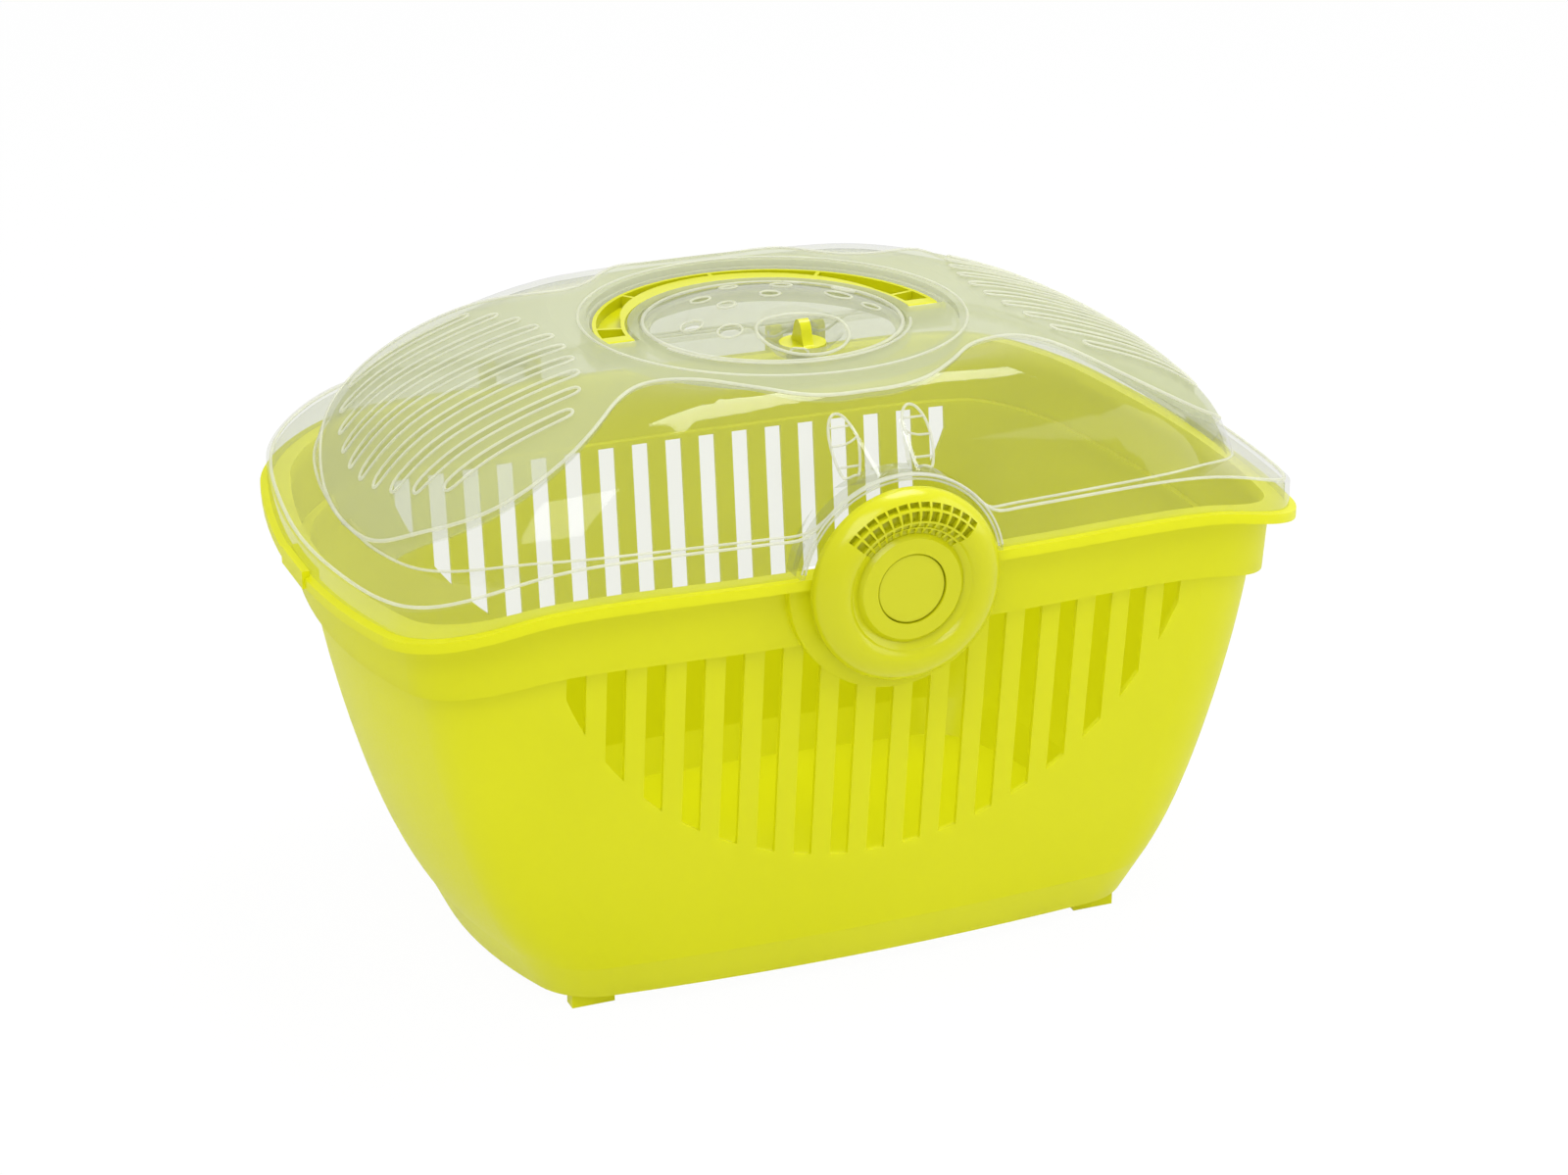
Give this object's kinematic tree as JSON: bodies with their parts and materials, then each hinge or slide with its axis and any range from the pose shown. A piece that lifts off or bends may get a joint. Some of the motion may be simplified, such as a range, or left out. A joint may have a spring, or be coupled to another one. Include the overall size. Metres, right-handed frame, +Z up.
{
  "type": "pet carrier",
  "caption": "Small pet carrier: slotted tub, clear domed lid hinged at the rear, round front latch, fold-flat carry handle and a lift-out round hatch with a turn knob.",
  "frame": {"origin": "on the floor, under the middle of the tub", "axes": "+X along the carrier, -Y to the front where the latch is, +Z up"},
  "size_m": [0.4536, 0.3162, 0.2869],
  "materials": {
    "tub": "smooth satin-gloss moulded plastic, yellow-green",
    "lid": "clear plastic, frosted on the top and ends",
    "latch": "smooth gloss moulded plastic, yellow-green",
    "handle": "smooth gloss moulded plastic, yellow-green",
    "hatch": "clear plastic, lightly frosted",
    "pins": "plain steel pins"
  },
  "bodies": {
    "tub": {"base_tub": "tub", "latch_pin": "pins", "hinge_pin_left": "pins", "hinge_pin_right": "pins"},
    "lid": {"lid_shell": "lid"},
    "latch": {"latch_body": "latch", "latch_cap": "latch"},
    "handle": {"carry_handle": "handle"},
    "hatch": {"treat_hatch": "hatch"},
    "knob": {"hatch_knob": "handle", "hatch_tongue": "handle"}
  },
  "joints": [
    {"name": "lid_open", "type": "hinge", "parent": "tub", "child": "lid", "pos_m": [0, 0.1536, 0.2165], "axis": [-1, 0, 0], "range_deg": [0, 100]},
    {"name": "latch_flip", "type": "hinge", "parent": "tub", "child": "latch", "pos_m": [0, -0.1475, 0.167], "axis": [1, 0, 0], "range_deg": [0, 35]},
    {"name": "handle_lift", "type": "hinge", "parent": "lid", "child": "handle", "pos_m": [0, 0, 0.2717], "axis": [1, 0, 0], "range_deg": [0, 90]},
    {"name": "hatch_lift", "type": "slide", "parent": "lid", "child": "hatch", "axis": [0, 0, 1], "range_m": [0, 0.022]},
    {"name": "knob_turn", "type": "hinge", "parent": "hatch", "child": "knob", "pos_m": [0, -0.035, 0.276], "axis": [0, 0, 1], "range_deg": [0, 90]}
  ]
}
